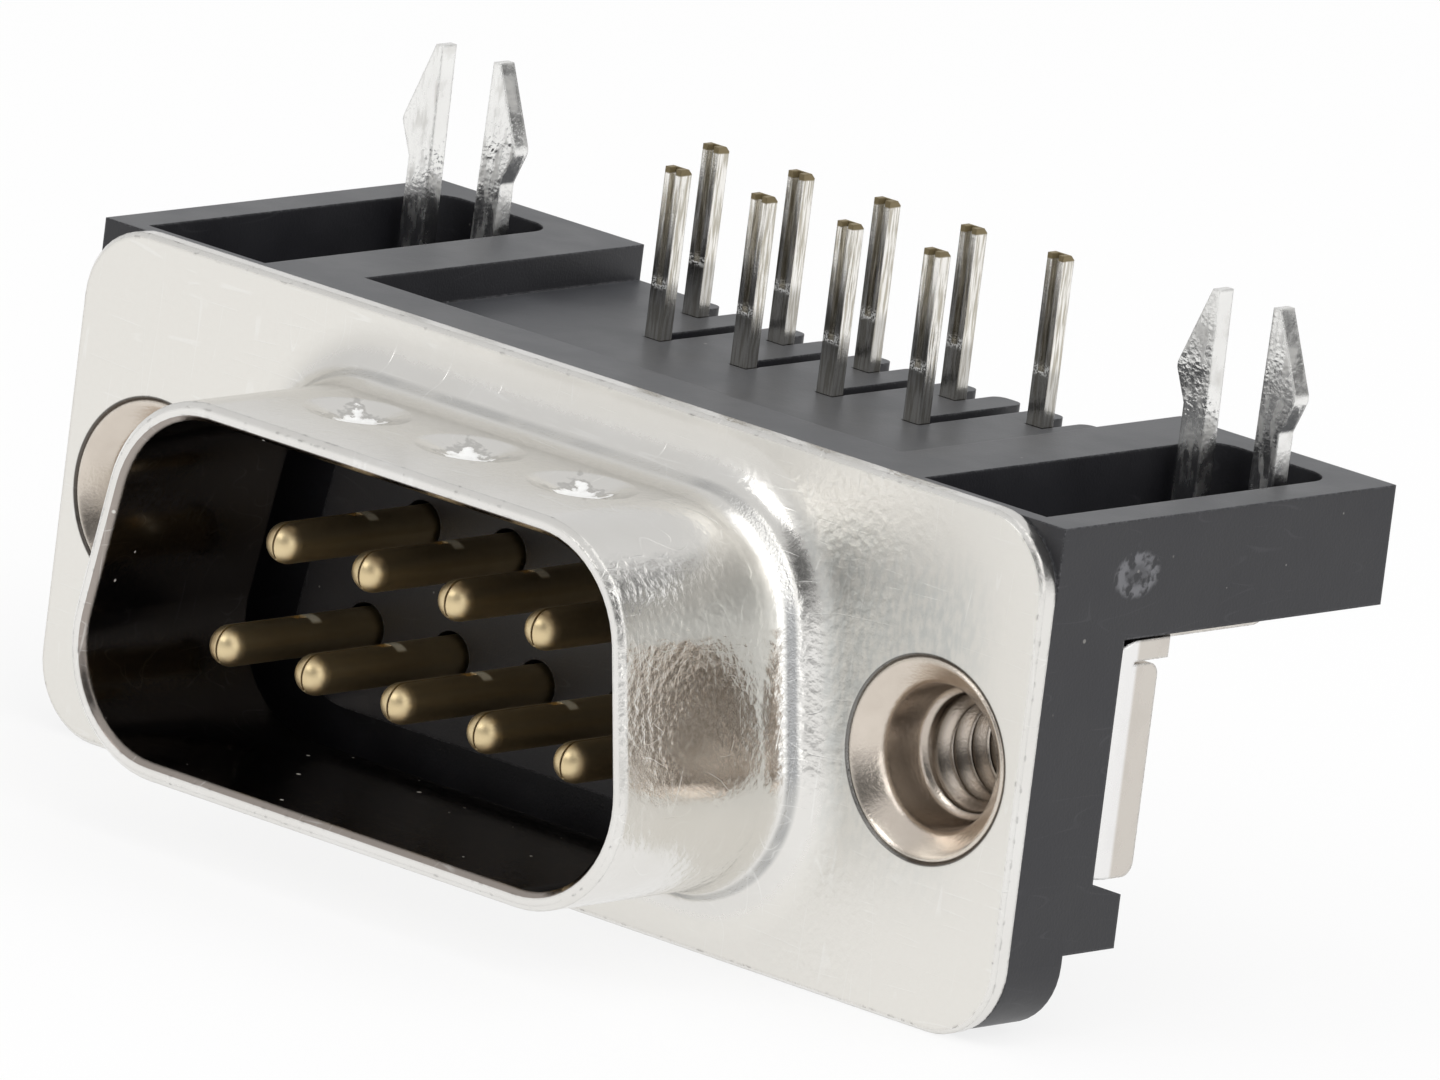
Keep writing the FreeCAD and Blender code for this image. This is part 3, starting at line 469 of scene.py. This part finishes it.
# The gate mark lies on the right side face, under the wing's rim.
gate_noise = noise(tree, place, 3.5, 3.0)
gate_y = calculate(tree, "DIVIDE", calculate(tree, "SUBTRACT", place["Y"], 3.25), 1.2)
gate_z = calculate(tree, "DIVIDE", calculate(tree, "SUBTRACT", place["Z"], 4.85), 0.85)
gate_radius = calculate(tree, "ADD", length(tree, gate_y, gate_z),
                        product(tree, gate_noise, 0.35))
gate = product(tree, blend_values(tree, fade(tree, gate_radius, 0.4, 0.62), 0.45, 1.0),
               fade(tree, gate_radius, 0.9, 0.74),
               fade(tree, place["X"], 15.2, 15.35),
               fade(tree, gate_noise, 0.4, 0.56))
plastic = coated(
    tree, blend_colours(tree, cloud, (0.01, 0.01, 0.0125, 1), (0.019, 0.019, 0.023, 1)), (
        (upward_sheen, (0.085, 0.088, 0.095, 1)),
        (product(tree, flash, 0.7), (0.2, 0.2, 0.21, 1)),
        (product(tree, scuffed, 0.08), (0.14, 0.14, 0.15, 1)),
        (product(tree, specks(tree, place, 0.9, 0.09, 0.3), 0.6), (0.3, 0.29, 0.27, 1)),
        (gate, (0.15, 0.15, 0.16, 1))))
rough = calculate(tree, "ADD", product(tree, fade(tree, cloud, 0.3, 0.7), 0.1), 0.38)
height = calculate(tree, "ADD", grain, product(tree, cloud, 3.0))
height = calculate(tree, "ADD", height, product(tree, gate, 3.0))
feed(tree, shader, {
    "Base Color": plastic,
    "Roughness": blend_values(tree, gate, rough, 0.8),
    "Normal": raise_surface(tree, height, 0.000006, edge["Normal"])})
dress("insulator_housing", housing_black)

# Contacts
# Nine pins rolled from brass strip, gilded where they mate and tinned on the bent leg and the
# channel-shaped solder tail. The shear left bare brass on the tips of the tails.
contact_metal, tree, shader, place = new_finish("contact_metal")
edge = use_group(tree, edge_group, {"Radius": 0.00005})
cloud = noise(tree, place, 0.8, 3.0)
grain = noise(tree, place, 22.0, 3.0)
# Draw lines run along the strip, level through the bend and then up the tail.
draw_lines = blend_values(tree, fade(tree, place["Z"], 1.9, 3.0),
                          noise(tree, place, 1.0, 3.0, (14.0, 1.1, 14.0)),
                          noise(tree, place, 1.0, 3.0, (14.0, 14.0, 1.1)))
gilded = fade(tree, place["Y"], 2.2, 1.2)
tip = calculate(tree, "ADD", place["Z"], product(tree, cloud, 0.16))
sheared = calculate(tree, "MAXIMUM", fade(tree, tip, 9.41, 9.45), product(
    tree, fade(tree, place["Z"], 9.2, 9.26), fade(tree, place["Facing Z"], 0.3, 0.5)))
# Below 6.5 mm up, the tails are darker; between 6.5 and 6.9 mm a narrow broken band on the faces
# turned to the front is bright.
darker_low_tails = fade(tree, place["Z"], 6.9, 6.5)
bright_tail_band = product(tree, between(tree, place["Z"], (6.5, 6.62), (6.9, 6.76)),
                  fade(tree, grain, 0.45, 0.55),
                  fade(tree, place["Facing Y"], -0.3, -0.7))
# A small bright patch is painted on the upper side of each pin where its seam ends: a painted
# highlight.
pin_top_highlight = product(tree, between(tree, place["Y"], (-1.86, -1.76), (-1.44, -1.54)),
                fade(tree, place["Facing Z"], 0.72, 0.85))
gold = blend_colours(tree, cloud, (0.68, 0.53, 0.3, 1), (0.84, 0.7, 0.44, 1))
tin = blend_colours(tree, fade(tree, draw_lines, 0.38, 0.6), (0.5, 0.47, 0.4, 1),
                    (0.9, 0.88, 0.84, 1))
# The edges of the tinned metal are painted lighter, a painted edge highlight.
metal = coated(tree, tin, (
    (product(tree, edge["Edge"], 0.7), (0.92, 0.91, 0.88, 1)),
    (product(tree, darker_low_tails, 0.55), (0.3, 0.29, 0.27, 1)),
    (bright_tail_band, (0.96, 0.96, 0.94, 1)),
    (gilded, gold),
    (sheared, (0.24, 0.19, 0.1, 1)),
    (pin_top_highlight, (1.0, 0.93, 0.72, 1))))
rough = blend_values(tree, gilded, 0.12, 0.36)
rough = blend_values(tree, sheared, rough, 0.5)
rough = blend_values(tree, pin_top_highlight, rough, 0.25)
rough = calculate(tree, "ADD", rough, product(tree, grain, 0.08))
height = calculate(tree, "ADD", product(tree, grain, 0.2), draw_lines)
height = product(tree, height, blend_values(tree, gilded, 1.0, 0.25))
bare = calculate(tree, "MAXIMUM", calculate(tree, "MAXIMUM", bright_tail_band, sheared), pin_top_highlight)
feed(tree, shader, {
    "Base Color": metal,
    "Metallic": calculate(tree, "SUBTRACT", 1.0, product(tree, bare, 0.6)),
    "Roughness": rough,
    "Normal": raise_surface(tree, height, 0.000008, edge["Normal"])})

contact_count = 9
for number in range(1, contact_count + 1):
    dress(f"contact_{number}", contact_metal)

# Threaded inserts
# Two nickel-plated tubular rivets turned from brass, with a rolled head seated in the flange,
# a counterbore and a fine screw thread behind it. They clamp shell, housing and lock together.
insert_nickel, tree, shader, place = new_finish("insert_nickel")
edge = use_group(tree, edge_group, {"Radius": 0.00008})
cloud = noise(tree, place, 1.2, 3.0)
turning = noise(tree, place, 12.0, 3.0)
# The counterbore and the bore behind it are painted darker as painted shade in the hole, and the
# thread is painted darker still.
axis_off = off_insert(tree, place)
bore_shade = product(tree, fade(tree, place["Y"], 0.45, 0.6), fade(tree, axis_off, 1.85, 1.78))
dark_thread = product(tree, between(tree, axis_off, (1.22, 1.4), (1.52, 1.47)),
                fade(tree, place["Y"], 1.85, 2.0))
# The edges are painted lighter, a painted edge highlight.
nickel = coated(tree, blend_colours(tree, cloud, (0.6, 0.53, 0.46, 1), (0.76, 0.69, 0.61, 1)), (
    (product(tree, edge["Edge"], 0.6), (0.9, 0.87, 0.8, 1)),
    (product(tree, bore_shade, 0.35), (0.3, 0.25, 0.21, 1)),
    (product(tree, dark_thread, 0.85), (0.1, 0.08, 0.06, 1))))
feed(tree, shader, {
    "Base Color": nickel,
    "Metallic": 1.0,
    "Roughness": calculate(tree, "ADD", product(tree, turning, 0.14), 0.16),
    "Normal": raise_surface(tree, turning, 0.000005, edge["Normal"])})

insert_back = 5.25
head_radius = 2.43
thread_major = 1.42
thread_minor = 1.15
thread_pitch = 0.635
thread_turns = 4.5
round_steps = 72
turn_steps = 48
# Half section from the head to the nut end: depth behind the flange face, then radius.
insert_section = [
    (0.07, 2.41), (0.02, 2.38), (0.0, 2.34), (0.02, 2.29), (0.07, 2.23), (0.42, 1.84), (0.5, 1.77),
    (0.6, 1.73), (0.72, 1.71), (1.55, 1.6), (1.64, 1.53), (1.7, thread_major),
    (insert_back - 0.06, thread_major), (insert_back, 1.48), (insert_back, 2.05),
    (insert_back - 0.25, 2.3), (3.6, 2.3), (3.6, 2.05), (0.45, 2.05), (0.3, 2.36),
    (0.17, head_radius)]
# Half section of the thread's ridge, rooted a little way in the wall of the bore.
ridge_start = 1.62
thread_root = thread_major + 0.04
ridge_section = [
    (ridge_start, thread_root), (ridge_start + 0.27, thread_minor),
    (ridge_start + 0.36, thread_minor), (ridge_start + 0.6, thread_root)]


def spun(shape, points, turn, steps, climb=0.0):
    """A closed half section turned round the Y axis, and carried along it by the climb."""
    corners = [shape.verts.new((radius / 1000, depth / 1000, 0)) for depth, radius in points]
    outline = [shape.edges.new((corners[i - 1], corners[i])) for i in range(len(corners))]
    bmesh.ops.spin(shape, geom=corners + outline, cent=(0, 0, 0), axis=(0, 1, 0), angle=turn,
                   steps=steps, dvec=(0, climb / 1000 / steps, 0), use_merge=not climb)
    rims = [line for line in shape.edges if line.is_boundary]
    bmesh.ops.holes_fill(shape, edges=rims, sides=len(points))


for side, name in ((-1, "left"), (1, "right")):
    insert_shape = bmesh.new()
    spun(insert_shape, insert_section, 2 * math.pi, round_steps)
    spun(insert_shape, ridge_section, 2 * math.pi * thread_turns,
         round(turn_steps * thread_turns), thread_pitch * thread_turns)
    bmesh.ops.remove_doubles(insert_shape, verts=insert_shape.verts, dist=1e-7)
    bmesh.ops.recalc_face_normals(insert_shape, faces=insert_shape.faces)
    bmesh.ops.translate(insert_shape, verts=insert_shape.verts,
                        vec=(side * insert_across / 1000, 0, 0))
    insert = finished_object(f"threaded_rivet_{name}", insert_shape)
    insert.data.materials.append(insert_nickel)
    insert.data.shade_smooth()
    insert.modifiers.new("crisp_corners", "EDGE_SPLIT").split_angle = math.radians(34)
    insert.modifiers.new("true_faces", "WEIGHTED_NORMAL").weight = 90
    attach(insert, "root")
    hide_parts(f"threaded_insert_{name}")

# Board locks
# Two brackets folded from tinned steel strip and riveted behind the housing by the inserts.
# Their harpoon prongs were sheared from the sheet, so they are rough, and crinkled at the barbs.
lock_tin, tree, shader, place = new_finish("lock_tin")
edge = use_group(tree, edge_group, {"Radius": 0.0001})
cloud = noise(tree, place, 0.7, 3.0)
grain = noise(tree, place, 14.0, 3.0)
shear = noise(tree, place, 1.6, 4.0, (3.0, 1.0, 0.8))
on_prong = fade(tree, place["Z"], 3.6, 4.6)
barbed = product(tree, between(tree, place["Z"], (6.6, 7.6), (9.4, 8.2)),
                 fade(tree, cloud, 0.4, 0.6))
# The bends that join the side flanges to the web are painted lighter than the flanges: a painted
# highlight on the bends.
bend_highlight_colour = blend_colours(tree, fade(tree, place["Y"], 3.65, 3.8), (0.86, 0.85, 0.84, 1),
                       (0.63, 0.59, 0.54, 1))
prong = blend_colours(tree, cloud, (0.78, 0.77, 0.75, 1), (0.96, 0.96, 0.94, 1))
prong = blend_colours(tree, product(tree, fade(tree, shear, 0.5, 0.7), 0.4), prong,
                      (0.6, 0.58, 0.54, 1))
# The edges are painted lighter, a painted edge highlight.
tin = coated(tree, bend_highlight_colour, (
    (on_prong, prong),
    (product(tree, edge["Edge"], 0.7), (0.95, 0.95, 0.93, 1))))
height = calculate(
    tree, "ADD",
    product(tree, crinkles(tree, place, 0.12), blend_values(tree, barbed, 0.3, 1.6)),
    product(tree, grain, 0.12))
feed(tree, shader, {
    "Base Color": tin,
    "Metallic": 1.0,
    "Roughness": calculate(tree, "ADD", product(tree, fade(tree, shear, 0.4, 0.7), 0.22), 0.18),
    "Normal": raise_surface(tree, height, 0.00002, edge["Normal"])})
for side in ("left", "right"):
    dress(f"board_lock_{side}", lock_tin)
